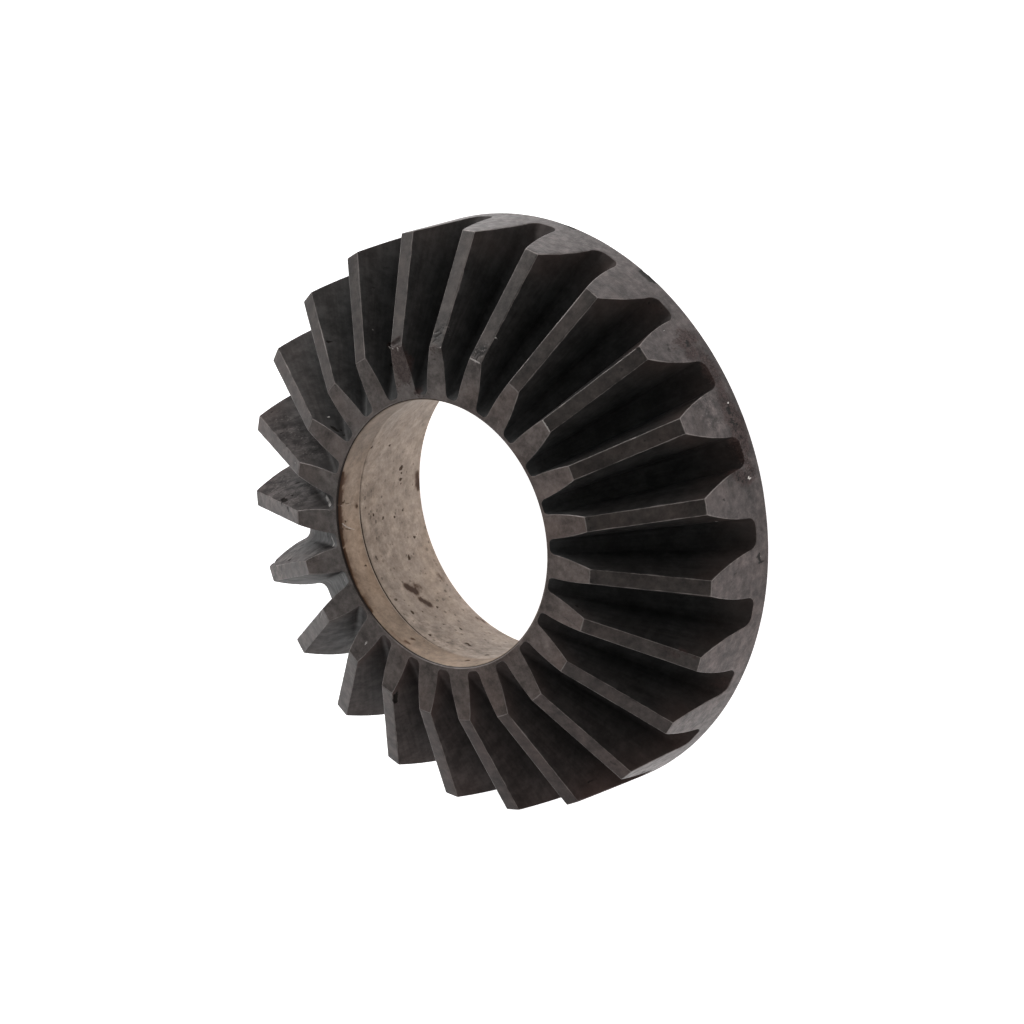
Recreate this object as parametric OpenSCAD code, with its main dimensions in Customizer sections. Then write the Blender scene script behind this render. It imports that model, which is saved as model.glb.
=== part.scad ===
// Straight bevel pinion gear, one solid piece of steel.
// Millimetres. +Z is the gear axis and points from the flat back face to the
// small (toe) end of the teeth. The origin is on the axis, in the back face,
// and a tooth is centred on +X.

/* [Blank] */
// outside diameter of the turned rim
outside_d = 99; // [97:0.5:102]
// height from the back face to the toe face
height = 24.25; // [23.5:0.05:24.8]
// height at which the tooth tips leave the turned rim
heel_tip_h = 15.1; // [14.2:0.05:16]
// radius at which the tooth tips meet the toe face
toe_tip_r = 31.7; // [30.8:0.05:32.6]
// edge break round the back of the rim
rim_break = 0.1; // [0.05:0.05:0.8]
// edge break where the tooth tips meet the toe face
toe_break = 0.16; // [0.1:0.02:0.4]

/* [Bore] */
// diameter of the straight seat at the front of the bore
bore_d = 45; // [44:0.1:45.4]
// length of the straight seat, behind the front chamfer
seat_length = 5.1; // [3:0.1:8]
// front chamfer, measured along the radius and along the axis
bore_chamfer = 0.4; // [0.2:0.05:0.6]
// radial step down from the seat to the tapered part
seat_step = 0.1; // [0.05:0.01:0.3]
// diameter of the tapered part at its wide, back end
bore_back_d = 49.8; // [48:0.1:53]
// back chamfer, measured along the radius and along the axis
back_chamfer = 0.4; // [0.1:0.05:0.8]

/* [Teeth] */
// number of teeth
teeth = 23; // [21:1:25]
// number of teeth of the mating gear, which sets the pitch cone
mate_teeth = 15; // [14:1:16]
// height of the common apex of all tooth surfaces above the back face
apex_h = 43.3; // [43.1:0.05:43.8]
// pressure angle, in degrees
pressure_angle = 20; // [18:0.5:22]
// half angle of the root cone, in degrees
root_angle = 50.9; // [50.7:0.1:51.8]
// half of the tooth space at the pitch cone, in parts of one tooth pitch
space_share = 0.2925; // [0.275:0.0025:0.31]
// fillet radius at the root, at the large (heel) end
root_fillet = 1.5; // [0.8:0.1:1.6]

/* [Resolution] */
// flat strips on each tooth flank
flank_steps = 9; // [4:1:14]
// flat strips on each root fillet
fillet_steps = 5; // [3:1:8]

/* [Hidden] */
$fn = 180;
rim_r = outside_d / 2;
bore_r = bore_d / 2;
back_r = bore_back_d / 2;
pitch = 360 / teeth;
// pitch cone: half angle, length to the rim, and radius of the virtual spur gear
pitch_angle = atan(teeth / mate_teeth);
cone_len = rim_r / sin(pitch_angle);
virtual_r = cone_len * tan(pitch_angle);
base_r = virtual_r * cos(pressure_angle);
// the tooth space is carried a little past the tips
top_angle = atan(rim_r / (apex_h - heel_tip_h)) + 1.4;
fillet_angle = root_fillet / cone_len * 180 / PI;
// heights of the cutter's two flat ends, along its middle line
near_cap = 20;
far_cap = 84;
mid_angle = (root_angle + top_angle) / 2;

// involute function, in degrees
function inv(a) = tan(a) * 180 / PI - a;
// radius on the virtual spur gear of a cone angle
function rho(b) = virtual_r + cone_len * (b - pitch_angle) * PI / 180;
function involute_at(b) = rho(b) > base_r ? inv(acos(base_r / rho(b))) : 0;
// half width of the tooth space, in degrees about the gear axis
function half_space(b) = space_share * pitch
    + (involute_at(b) - inv(pressure_angle)) / cos(pitch_angle);

// right side of the tooth space from the tip down to the flat of the root:
// pairs of cone angle and angle about the axis
fillet_top = root_angle + fillet_angle;
fillet_x = half_space(fillet_top) * sin(fillet_top) - fillet_angle;
flank = [for (i = [0 : flank_steps])
    let (b = top_angle + (fillet_top - top_angle) * i / flank_steps)
    [b, half_space(b)]];
fillet = [for (i = [1 : fillet_steps])
    let (t = 90 * i / fillet_steps,
         b = fillet_top - fillet_angle * sin(t))
    [b, (fillet_x + fillet_angle * cos(t)) / sin(b)]];
side = concat(flank, fillet);
n_side = len(side);
outline = concat(side, [for (i = [n_side - 1 : -1 : 0]) [side[i][0], -side[i][1]]]);
n_out = len(outline);
// the point across the tooth space from point i
function across(i) = n_out - 1 - i;

// direction of a surface line through the apex, and the point where it meets
// the plane at distance d along the cutter's middle line
function dir(q) = [sin(q[0]) * cos(q[1]), sin(q[0]) * sin(q[1]), -cos(q[0])];
mid_dir = dir([mid_angle, 0]);
function on_cap(q, d) = [0, 0, apex_h] + dir(q) * (d / (dir(q) * mid_dir));

// one tooth space as a straight-sided cutter whose lines all run to the apex
module tooth_space() {
    pts = concat([for (q = outline) on_cap(q, near_cap)],
                 [for (q = outline) on_cap(q, far_cap)]);
    polyhedron(
        points = pts,
        faces = concat(
            [for (i = [0 : n_side - 2]) [i, across(i), across(i + 1), i + 1]],
            [for (i = [0 : n_side - 2])
                [n_out + i, n_out + i + 1, n_out + across(i + 1), n_out + across(i)]],
            [for (i = [0 : n_out - 1])
                let (j = (i + 1) % n_out) [i, j, n_out + j, n_out + i]]),
        convexity = 4);
}

// turned blank with its bore
module blank() {
    // slope of the tip cone, for the edge break at the toe
    tip_run = rim_r - toe_tip_r;
    tip_drop = height - heel_tip_h;
    tip_len = norm([tip_run, tip_drop]);
    rotate_extrude()
        polygon([
            [back_r + back_chamfer, 0],
            [rim_r - rim_break, 0],
            [rim_r, rim_break],
            [rim_r, heel_tip_h],
            [toe_tip_r + toe_break * tip_run / tip_len,
             height - toe_break * tip_drop / tip_len],
            [toe_tip_r - toe_break, height],
            [bore_r + bore_chamfer, height],
            [bore_r, height - bore_chamfer],
            [bore_r, height - bore_chamfer - seat_length],
            [bore_r + seat_step, height - bore_chamfer - seat_length],
            [back_r, back_chamfer]]);
}

// the gear
module pinion_gear() {
    color([0.27, 0.255, 0.25])
    difference() {
        blank();
        for (k = [0 : teeth - 1])
            rotate([0, 0, (k + 0.5) * pitch])
                tooth_space();
    }
}

pinion_gear();
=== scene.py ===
import math

import bpy
import numpy as np
from mathutils import Matrix, Vector
from mathutils.bvhtree import BVHTree


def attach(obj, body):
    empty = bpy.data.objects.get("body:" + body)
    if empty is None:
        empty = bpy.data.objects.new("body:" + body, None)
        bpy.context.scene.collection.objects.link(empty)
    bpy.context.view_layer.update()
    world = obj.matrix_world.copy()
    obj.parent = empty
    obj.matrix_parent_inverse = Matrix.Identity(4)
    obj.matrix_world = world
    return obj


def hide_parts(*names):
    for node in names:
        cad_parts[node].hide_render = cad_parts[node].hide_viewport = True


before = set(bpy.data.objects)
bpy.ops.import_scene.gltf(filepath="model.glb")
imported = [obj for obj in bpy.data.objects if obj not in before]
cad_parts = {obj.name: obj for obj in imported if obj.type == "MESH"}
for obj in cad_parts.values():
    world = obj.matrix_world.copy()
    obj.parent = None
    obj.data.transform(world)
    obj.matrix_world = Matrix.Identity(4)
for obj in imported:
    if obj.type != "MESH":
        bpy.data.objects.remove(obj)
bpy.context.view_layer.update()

# ---------------------------------------------------------------- dimensions, in millimetres
TEETH = 23
PITCH = 360.0 / TEETH
RIM_R = 49.5
HEIGHT = 24.25
HEEL_TIP_Z = 15.1
TOE_TIP_R = 31.7
APEX = 43.3
ROOT = 50.9
BORE_R = 22.5
CHAMFER = 0.4
SEAT_END = 18.75
BACK_R = 24.9
BACK_CH = 0.4
PRESSURE = 20.0
PITCH_ANGLE = math.degrees(math.atan(TEETH / 15.0))
CONE_LEN = RIM_R / math.sin(math.radians(PITCH_ANGLE))
VIRTUAL_R = CONE_LEN * math.tan(math.radians(PITCH_ANGLE))
BASE_R = VIRTUAL_R * math.cos(math.radians(PRESSURE))
FILLET = math.degrees(1.5 / CONE_LEN)
SHARE = 0.2925
EDGE = 0.15          # width of the edge rounding on each side of a tooth edge


def inv(a):
    return np.degrees(np.tan(a) - a)


def half_space(b):
    """Half width of a tooth space, in degrees about the axis, at cone angle b in degrees."""
    rho = VIRTUAL_R + CONE_LEN * np.radians(np.asarray(b, float) - PITCH_ANGLE)
    a = np.arccos(np.clip(BASE_R / np.maximum(rho, BASE_R), -1, 1))
    return SHARE * PITCH + (inv(a) - inv(math.radians(PRESSURE))) / math.cos(math.radians(PITCH_ANGLE))


def on_ray(b, theta, d):
    """Point at distance d from the apex along cone angle b, at azimuth theta, both in degrees."""
    b, t = np.radians(b), np.radians(theta)
    return np.stack([d * np.sin(b) * np.cos(t), d * np.sin(b) * np.sin(t), APEX - d * np.cos(b)], -1)


# ---------------------------------------------------------------- columns of one cell, tooth centre to tooth centre
LAND = [0.0, 0.42, 0.8]
FLANK = [0.86, 0.7, 0.54, 0.38, 0.24, 0.11, 0.0]
FIL = [18, 36, 54, 72, 90]
TOP_F = ROOT + FILLET
FIL_X = float(half_space(TOP_F)) * math.sin(math.radians(TOP_F)) - FILLET


def cell_column(kind, v, b_tip, side):
    """Cone angle and angle about the axis, measured from the middle of the tooth space, of one column at stations b_tip."""
    if kind == "land":
        tau = PITCH / 2 - half_space(b_tip)
        return b_tip, -(PITCH / 2 - tau * v) * side
    if kind == "tip":
        return b_tip, -half_space(b_tip) * side
    if kind == "flank":
        b = TOP_F + (b_tip - TOP_F) * v
        return b, -half_space(b) * side
    if kind == "fillet":
        t = math.radians(v)
        b = TOP_F - FILLET * math.sin(t)
        x = (FIL_X + FILLET * math.cos(t)) / math.sin(math.radians(b))
        return np.full_like(b_tip, b), np.full_like(b_tip, -x * side)
    return np.full_like(b_tip, ROOT), np.zeros_like(b_tip)


half = [("land", v) for v in LAND] + [("tip", 1.0)] + [("flank", v) for v in FLANK] + [("fillet", v) for v in FIL]
cell = [(k, v, 1) for k, v in half] + [("root", 0.0, 1)] + [(k, v, -1) for k, v in half[::-1][:-1]]
N_CELL = len(cell)

# ---------------------------------------------------------------- rows along a tooth
N_LEN = 42
STATION = np.linspace(0, 1, N_LEN + 1)
tip_r = TOE_TIP_R + (RIM_R - TOE_TIP_R) * STATION
tip_z = HEIGHT + (HEEL_TIP_Z - HEIGHT) * STATION
b_tip = np.degrees(np.arctan2(tip_r, APEX - tip_z))
d_tip = np.hypot(tip_r, APEX - tip_z)


def tooth_rows():
    """Sharp tooth surfaces: array rows x columns x 3 for all cells."""
    cols = []
    for kind, v, side in cell:
        b, x = cell_column(kind, v, b_tip, side)
        d0 = (APEX - HEIGHT) / np.cos(np.radians(b))
        d1 = RIM_R / np.sin(np.radians(b))
        if kind in ("land", "tip"):
            d = d_tip
        else:
            w = v if kind == "flank" else 0.0
            s_tip = (d_tip - (APEX - HEIGHT) / np.cos(np.radians(b_tip))) / (
                RIM_R / np.sin(np.radians(b_tip)) - (APEX - HEIGHT) / np.cos(np.radians(b_tip)))
            s = STATION + (s_tip - STATION) * w
            d = d0 + (d1 - d0) * s
        cols.append((b, x, d))
    out = []
    for k in range(TEETH):
        mid = (k + 0.5) * PITCH
        out.append(np.stack([on_ray(b, mid + x, d) for b, x, d in cols], 1))
    return np.concatenate(out, 1)


def unit(v):
    return v / np.maximum(np.linalg.norm(v, axis=-1, keepdims=True), 1e-12)


tooth = tooth_rows()                       # (rows, U, 3)
U = tooth.shape[1]
assert U == N_CELL * TEETH
kinds = [c[0] for c in cell] * TEETH
tip_cols = [j for j in range(U) if kinds[j] == "tip"]


# toe face: offset of the toe outline into the material, in the plane
toe_line = tooth[0]


def offset_plane(line, dist):
    """Line moved by dist into the material of the toe face."""
    a, b = unit(line - np.roll(line, 1, 0)), unit(np.roll(line, -1, 0) - line)
    up = np.array([0, 0, 1.0])
    na, nb = np.cross(up, a), np.cross(up, b)
    n = unit(na + nb)
    k = 1 / np.maximum((n * na).sum(-1, keepdims=True), 0.5)
    return line + n * dist * k


def offset_rim(line, dist):
    """Line on the outer cylinder moved by dist down into the rim, along the cylinder."""
    th = np.unwrap(np.arctan2(line[:, 1], line[:, 0]))
    q = np.stack([th * RIM_R, line[:, 2]], -1)
    nxt, prv = np.roll(q, -1, 0), np.roll(q, 1, 0)
    turn = 2 * np.pi * RIM_R
    nxt[-1, 0] += turn
    prv[0, 0] -= turn
    a, b = unit(q - prv), unit(nxt - q)
    na, nb = np.stack([a[:, 1], -a[:, 0]], -1), np.stack([b[:, 1], -b[:, 0]], -1)
    n = unit(na + nb)
    k = 1 / np.maximum((n * na).sum(-1, keepdims=True), 0.5)
    q = q + n * dist * k
    th = q[:, 0] / RIM_R
    return np.stack([RIM_R * np.cos(th), RIM_R * np.sin(th), q[:, 1]], -1)


def angles(line):
    return np.unwrap(np.arctan2(line[:, 1], line[:, 0]))


def ring(r, z, th):
    return np.stack([r * np.cos(th), r * np.sin(th), np.full_like(th, z)], -1)


def spread_lands(line, lift):
    """Puts the land columns of an offset line evenly between its two tip columns."""
    line = line.copy()
    for k in range(TEETH):
        left, right = k * N_CELL - (N_CELL - tip_cols[1]), k * N_CELL + tip_cols[0]
        a, b = line[left], line[right]
        for j in range(left + 1, right):
            v = LAND[abs(j - k * N_CELL)]
            f = 0.5 + 0.5 * v * (1 if j > k * N_CELL else -1)
            p = a + (b - a) * f
            if lift:
                p[:2] *= RIM_R / math.hypot(p[0], p[1])
            line[j] = p
    return line


toe_in = spread_lands(offset_plane(toe_line, 0.36), False)
even = angles(toe_line)[0] + np.arange(U) * 2 * np.pi / U
th_toe = angles(toe_in)
r_toe = np.hypot(toe_in[:, 0], toe_in[:, 1])
assert (np.diff(th_toe) > 0).all()

# toe face rows from the bore chamfer to the offset line
R_CH = BORE_R + CHAMFER
FINE_R = R_CH + 0.17
face_rows = []
for f in [0.0, 0.12, 0.27, 0.45, 0.64, 0.83]:
    g = f ** 0.9
    th = (1 - g) * (0.35 * th_toe + 0.65 * even) + g * th_toe
    r = FINE_R + (r_toe - FINE_R) * f
    face_rows.append(ring(r, HEIGHT, th))
face_rows.append(toe_in)

heel_line = tooth[-1]
rim_off = spread_lands(offset_rim(heel_line, 0.36), True)
th_heel = angles(rim_off)
assert (np.diff(th_heel) > 0).all()
z_heel = rim_off[:, 2]
even_h = even + (th_heel[0] - even[0])
BOT = 0.45
rim_rows = []
for f in [0.0, 0.07, 0.15, 0.24, 0.34, 0.45, 0.56, 0.67, 0.78, 0.89, 1.0]:
    th = (1 - f) * th_heel + f * (0.25 * th_heel + 0.75 * even_h)
    z = z_heel + (BOT - z_heel) * f
    rim_rows.append(np.stack([RIM_R * np.cos(th), RIM_R * np.sin(th), z], -1))
th_bot = 0.25 * th_heel + 0.75 * even_h

# full sharp grid of the fine part; the rows i_toe, i_heel and i_bot get a rounded edge below
grid = face_rows + [toe_line] + [tooth[i] for i in range(1, N_LEN)] + [heel_line] + rim_rows
i_toe = len(face_rows)
i_heel = i_toe + N_LEN
grid.append(ring(RIM_R, 0.0, th_bot))
i_bot = len(grid) - 1
grid.append(ring(RIM_R - 0.5, 0.0, th_bot))
grid = np.array(grid)


def noise_line(n, scale, seed, amp):
    """Smooth periodic noise of n samples."""
    r = np.random.default_rng(seed)
    m = max(4, int(n / scale))
    a = r.normal(size=m)
    x = np.arange(n) * m / n
    i = np.floor(x).astype(int)
    f = x - i
    f = f * f * (3 - 2 * f)
    return amp * (a[i % m] * (1 - f) + a[(i + 1) % m] * f)


# rounded tip edges: each tip column becomes three
n_row = grid.shape[0]
new_cols, col_wear = [], []
for j in range(U):
    if kinds[j] != "tip":
        new_cols.append(grid[:, j])
        col_wear.append(0.0)
        continue
    p, a, b = grid[:, j], grid[:, j - 1], grid[:, (j + 1) % U]
    e = EDGE * (1 + noise_line(n_row, 5, 1000 + j, 0.22))
    e = np.clip(e, 0.09, 0.26)[:, None]
    pa, pb = p + unit(a - p) * e, p + unit(b - p) * e
    new_cols += [pa, (pa + 2 * p + pb) / 4, pb]
    col_wear += [0.6, 1.0, 0.6]
grid = np.stack(new_cols, 1)
U2 = grid.shape[1]
col_wear = np.array(col_wear)
N2 = U2 // TEETH


def round_row(rows, wear, i, e, seed):
    """Replaces the sharp row i by three rows. Returns the new list."""
    p, a, b = rows[i], rows[i - 1], rows[i + 1]
    t = unit(np.roll(p, -1, 0) - np.roll(p, 1, 0))
    da, db = unit(a - p), unit(b - p)
    sa = np.maximum(np.linalg.norm(np.cross(t, da), axis=-1), 0.45)
    sb = np.maximum(np.linalg.norm(np.cross(t, db), axis=-1), 0.45)
    w = np.clip(e * (1 + noise_line(len(p), 9, seed, 0.2)), e * 0.6, e * 1.6)
    la, lb = np.linalg.norm(a - p, axis=-1), np.linalg.norm(b - p, axis=-1)
    ea, eb = np.minimum(w / sa, la * 0.8)[:, None], np.minimum(w / sb, lb * 0.8)[:, None]
    pa, pb = p + da * ea, p + db * eb
    m = (pa + 2 * p + pb) / 4
    return rows[:i] + [pa, m, pb] + rows[i + 1:], wear[:i] + [0.6, 1.0, 0.6] + wear[i + 1:]


rows = [grid[i] for i in range(n_row)]
rwear = [0.0] * n_row
rows, rwear = round_row(rows, rwear, i_bot, 0.12, 5)
rows, rwear = round_row(rows, rwear, i_heel, 0.15, 6)
rows, rwear = round_row(rows, rwear, i_toe, 0.13, 7)
fine = np.array(rows)
rwear = np.array(rwear)
NF = len(fine)
I_TOE, I_HEEL, I_BOT = i_toe + 1, i_heel + 3, i_bot + 5      # middle rows of the three rounded edges

# ---------------------------------------------------------------- coarse part: back face, bore and chamfer
keep = [j for j in range(U2) if j % 2 == 0]
assert U2 % 2 == 0
C = len(keep)
th_c = np.arange(C) * 2 * np.pi / C
th_c0 = np.unwrap(np.arctan2(fine[0][keep][:, 1], fine[0][keep][:, 0]))
th_c = th_c + np.mean(th_c0 - th_c)
back_start = np.unwrap(np.arctan2(fine[-1][keep][:, 1], fine[-1][keep][:, 0]))


def bore_profile():
    """(radius, height, wear) from the rim of the back face inwards, up the bore and out to the toe face."""
    pts = [(RIM_R - 1.4, 0, 0), (RIM_R - 4, 0, 0), (RIM_R - 8, 0, 0), (RIM_R - 12, 0, 0), (RIM_R - 16, 0, 0),
           (RIM_R - 19.5, 0, 0), (RIM_R - 22, 0, 0), (BACK_R + BACK_CH + 0.6, 0, 0),
           (BACK_R + BACK_CH + 0.07, 0, 0.5), (BACK_R + BACK_CH - 0.03, 0.05, 1.0),
           (BACK_R + 0.06, BACK_CH - 0.09, 0.8), (BACK_R - 0.02, BACK_CH + 0.07, 0.5)]
    taper_top_z, taper_top_r = SEAT_END - 0.42, BORE_R + 0.12
    n = 30
    for i in range(1, n + 1):
        f = i / n
        z = BACK_CH + (taper_top_z - BACK_CH) * f
        pts.append((BACK_R + (taper_top_r - BACK_R) * f, z, 0))
    pts += [(BORE_R + 0.19, SEAT_END - 0.36, 0), (BORE_R + 0.2, SEAT_END - 0.12, 0), (BORE_R + 0.15, SEAT_END - 0.03, 0),
            (BORE_R + 0.04, SEAT_END, 0.8), (BORE_R, SEAT_END + 0.05, 0.6)]
    top = HEIGHT - CHAMFER
    for f in [0.06, 0.18, 0.3, 0.42, 0.54, 0.66, 0.78, 0.9]:
        pts.append((BORE_R, SEAT_END + (top - SEAT_END) * f, 0))
    pts += [(BORE_R, top - 0.05, 0.0), (BORE_R + 0.04, top + 0.03, 0.1), (R_CH - 0.06, HEIGHT - 0.07, 0.0),
            (R_CH, HEIGHT - 0.012, 0.75), (R_CH + 0.07, HEIGHT, 0.35)]
    return pts


prof = bore_profile()
coarse = []
for n_, (r, z, w) in enumerate(prof):
    f = min(1.0, n_ / 6.0)
    th = (1 - f) * back_start + f * th_c
    coarse.append(ring(r, z, th))
coarse = np.array(coarse)
NC = len(coarse)

# ---------------------------------------------------------------- vertices, faces and masks
verts = np.concatenate([fine.reshape(-1, 3), coarse.reshape(-1, 3)])
F0 = NF * U2


def fv(i, j):
    return i * U2 + j % U2


def cv(i, j):
    return F0 + i * C + j % C


wear = np.concatenate([np.maximum(rwear[:, None], np.where(
    (np.arange(NF)[:, None] >= I_TOE) & (np.arange(NF)[:, None] <= I_HEEL), col_wear[None, :], 0)).ravel(),
    np.repeat([p[2] for p in prof], C)])

quads, zone = [], []
Z_TOE, Z_TOOTH, Z_RIM, Z_BACK, Z_BORE, Z_LAND = range(6)
for i in range(NF - 1):
    z = Z_TOE if i < I_TOE else Z_TOOTH if i < I_HEEL else Z_RIM if i < I_BOT else Z_BACK
    for j in range(U2):
        quads.append((fv(i, j), fv(i + 1, j), fv(i + 1, j + 1), fv(i, j + 1)))
        zone.append(z)
polys = []
for n_, j in enumerate(keep):
    # fine to coarse on the back face, then coarse to fine on the toe face
    polys.append(([fv(NF - 1, j), cv(0, n_), cv(0, n_ + 1), fv(NF - 1, j + 2), fv(NF - 1, j + 1)], Z_BACK))
    polys.append(([cv(NC - 1, n_), fv(0, j), fv(0, j + 1), fv(0, j + 2), cv(NC - 1, n_ + 1)], Z_TOE))
cquads, czone = [], []
for i in range(NC - 1):
    rz = prof[i][1] + prof[i + 1][1]
    z = Z_BACK if i < 9 else Z_TOE if i >= NC - 2 else Z_BORE
    for n_ in range(C):
        cquads.append((cv(i, n_), cv(i + 1, n_), cv(i + 1, n_ + 1), cv(i, n_ + 1)))
        czone.append(z)

# attributes that the materials read, one number per vertex
kinds2 = []
for j in range(U):
    kinds2 += [kinds[j]] * (3 if kinds[j] == "tip" else 1)
LAND_OF = {"land": 1.0, "tip": 0.5, "flank": 0.0, "fillet": 0.0, "root": 0.0}
land_col = np.array([LAND_OF[k] for k in kinds2])
for j in range(U2):
    if kinds2[j] == "tip" and kinds2[j - 1] == "tip" and kinds2[(j + 1) % U2] == "tip":
        a, b = (j - 2) % U2, (j + 2) % U2
        land_col[j - 1], land_col[(j + 1) % U2] = (1.0, 0.0) if kinds2[a] == "land" else (0.0, 1.0)
deep_cell = []
for kind, v, side in cell:
    q = 0.0 if kind in ("land", "tip") else 0.75 * (1 - v) if kind == "flank" else 0.75 + 0.25 * v / 90 if kind == "fillet" else 1.0
    deep_cell += [q] * (3 if kind == "tip" else 1)
deep_col = np.tile(deep_cell, TEETH)
wear2 = wear[:F0].reshape(NF, U2).copy()
wear2[I_TOE + 2:I_HEEL - 1] *= 0.86
wear2[I_TOE - 1:I_TOE + 2] *= 1 - 0.6 * deep_col
wear2[I_HEEL - 1:I_HEEL + 2] *= 1 - 0.3 * deep_col
wear[:F0] = wear2.ravel()
row_t = np.clip((np.arange(NF) - I_TOE) / (I_HEEL - I_TOE), 0, 1)
pad = np.zeros(NC * C)
attrs = {
    "wear": wear,
    "land": np.concatenate([np.tile(land_col, NF), pad]),
    "deep": np.concatenate([np.tile(deep_col, NF), pad]),
    "heel": np.concatenate([np.repeat(row_t, U2), pad]),
}
for name in ("dirt", "bare", "rust", "oil", "pit"):
    attrs[name] = np.zeros(len(verts))

n_ = 0
for i in range(NF - 1):
    for j in range(U2):
        if zone[n_] == Z_TOOTH and land_col[j] + land_col[(j + 1) % U2] > 1.2:
            zone[n_] = Z_LAND
        n_ += 1

faces = [list(q) for q in quads] + [p[0] for p in polys] + [list(q) for q in cquads]
zones = zone + [p[1] for p in polys] + czone

# ---------------------------------------------------------------- camera
FOCAL = 5058.17
TILT, ROLL, SPIN = math.radians(42.21), math.radians(-18.40), math.radians(10.90)
SCALE = 0.495
u = np.array([math.cos(TILT), 0, -math.sin(TILT)])
v = np.array([0, 1.0, 0])
look = np.array([-math.sin(TILT), 0, -math.cos(TILT)])
R = np.stack([u * math.cos(SPIN) + v * math.sin(SPIN), u * math.sin(SPIN) - v * math.cos(SPIN), look], 1)
c, s = math.cos(ROLL), math.sin(ROLL)
R = np.array([[c, -s, 0], [s, c, 0], [0, 0, 1.0]]) @ R
eye = -R.T @ (np.array([-12.23, 3.38, 1699.80]) * SCALE + R[:, 2] * (-30.5 * SCALE))

cam_data = bpy.data.cameras.new("camera")
cam_data.sensor_width = 36.0
cam_data.sensor_fit = "HORIZONTAL"
cam_data.lens = FOCAL / 1024 * 36.0
cam_data.clip_start = 0.05
cam_data.clip_end = 20.0
cam = bpy.data.objects.new("camera", cam_data)
m = Matrix.Identity(4)
for i in range(3):
    m[i][0], m[i][1], m[i][2], m[i][3] = R[0][i], -R[1][i], -R[2][i], eye[i] * 0.001
cam.matrix_world = m
bpy.context.scene.collection.objects.link(cam)
bpy.context.scene.camera = cam

# ---------------------------------------------------------------- wear marks
tree = BVHTree.FromPolygons(verts.tolist(), faces)


def seen_at(px, py):
    """Point and normal of the gear under a place in the 1024 x 1024 picture, or the nearest one towards its middle."""
    for _ in range(60):
        d = R.T @ np.array([(px - 512) / FOCAL, (py - 512) / FOCAL, 1.0])
        hit, nor, _i, _d = tree.ray_cast(Vector(eye), Vector(d).normalized())
        if hit is not None:
            return np.array(hit), np.array(nor)
        px, py = px + (512 - px) * 0.006, py + (512 - py) * 0.006
    raise RuntimeError("no surface there")


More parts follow.
